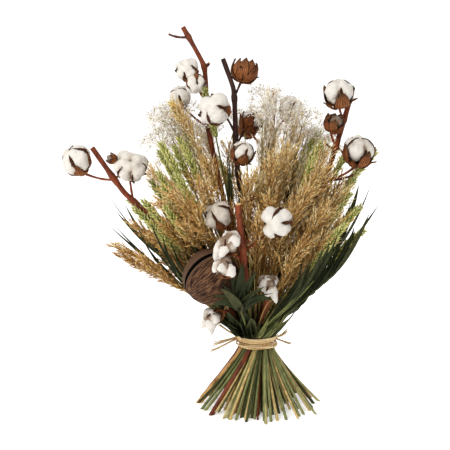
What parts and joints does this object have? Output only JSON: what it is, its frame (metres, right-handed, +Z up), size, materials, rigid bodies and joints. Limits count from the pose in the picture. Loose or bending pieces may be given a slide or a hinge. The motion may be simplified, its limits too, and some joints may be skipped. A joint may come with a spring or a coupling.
{
  "type": "dried cotton stem bunch",
  "caption": "Hand-tied dried bunch of cotton branches with open bolls, grass ears, plumes, umbels, leaves and a woody pod, standing on spread spiral stems.",
  "frame": {"origin": "cut end of the middle stem, on the surface that the bunch stands on", "axes": "+Z up along the bunch, the front faces -Y, +X to its right as seen from the front"},
  "size_m": [0.4923, 0.3193, 0.574],
  "materials": {
    "cotton_wood": "dry red-brown bark, pale at the cuts",
    "cotton_lint": "matte raw cotton",
    "green_ear": "matte dry green",
    "golden_plume": "matte dry straw",
    "umbel": "matte dry cream",
    "dark_leaf": "matte preserved leaf",
    "woody_pod": "fibrous dry husk",
    "raffia": "dry raffia"
  },
  "bodies": {
    "root": {"cotton_back_1": "cotton_lint", "cotton_back_2": "cotton_lint", "cotton_back_3": "cotton_lint", "cotton_branch_back": "cotton_wood", "cotton_branch_centre": "cotton_wood", "cotton_branch_front": "cotton_wood", "cotton_branch_front_low": "cotton_wood", "cotton_branch_left": "cotton_wood", "cotton_branch_low_left": "cotton_wood", "cotton_branch_right": "cotton_wood", "cotton_branch_upper_left": "cotton_wood", "cotton_centre_1": "cotton_lint", "cotton_centre_2": "cotton_lint", "cotton_centre_3": "cotton_lint", "cotton_centre_4": "cotton_lint", "cotton_front_1": "cotton_lint", "cotton_front_2": "cotton_lint", "cotton_front_3": "cotton_lint", "cotton_front_4": "cotton_lint", "cotton_front_low_1": "cotton_lint", "cotton_left_1": "cotton_lint", "cotton_left_2": "cotton_lint", "cotton_low_left_1": "cotton_lint", "cotton_right_1": "cotton_lint", "cotton_right_2": "cotton_lint", "cotton_right_3": "cotton_lint", "cotton_upper_left_1": "cotton_lint", "cotton_upper_left_2": "cotton_lint", "golden_plumes_back_left": "golden_plume", "golden_plumes_back_right": "golden_plume", "golden_plumes_front_left": "golden_plume", "golden_plumes_front_right": "golden_plume", "golden_plumes_inner_right": "golden_plume", "golden_plumes_low_right": "golden_plume", "golden_plumes_middle": "golden_plume", "golden_plumes_tail": "golden_plume", "green_ears_back": "green_ear", "green_ears_front_left": "green_ear", "green_ears_left": "green_ear", "green_ears_low_right": "green_ear", "green_ears_right": "green_ear", "green_ears_tall": "green_ear", "green_ears_upper_left": "green_ear", "green_ears_upper_right": "green_ear", "leaves_back": "dark_leaf", "leaves_inner_right": "dark_leaf", "leaves_left": "dark_leaf", "leaves_outer_right": "dark_leaf", "leaves_palm": "dark_leaf", "leaves_upright": "dark_leaf", "raffia_tie": "raffia", "umbel_back_left": "umbel", "umbel_back_right": "umbel", "umbel_far_left": "umbel", "umbel_inner_left": "umbel", "umbel_inner_right": "umbel", "umbel_middle": "umbel", "woody_pod": "woody_pod"}
  },
  "joints": []
}
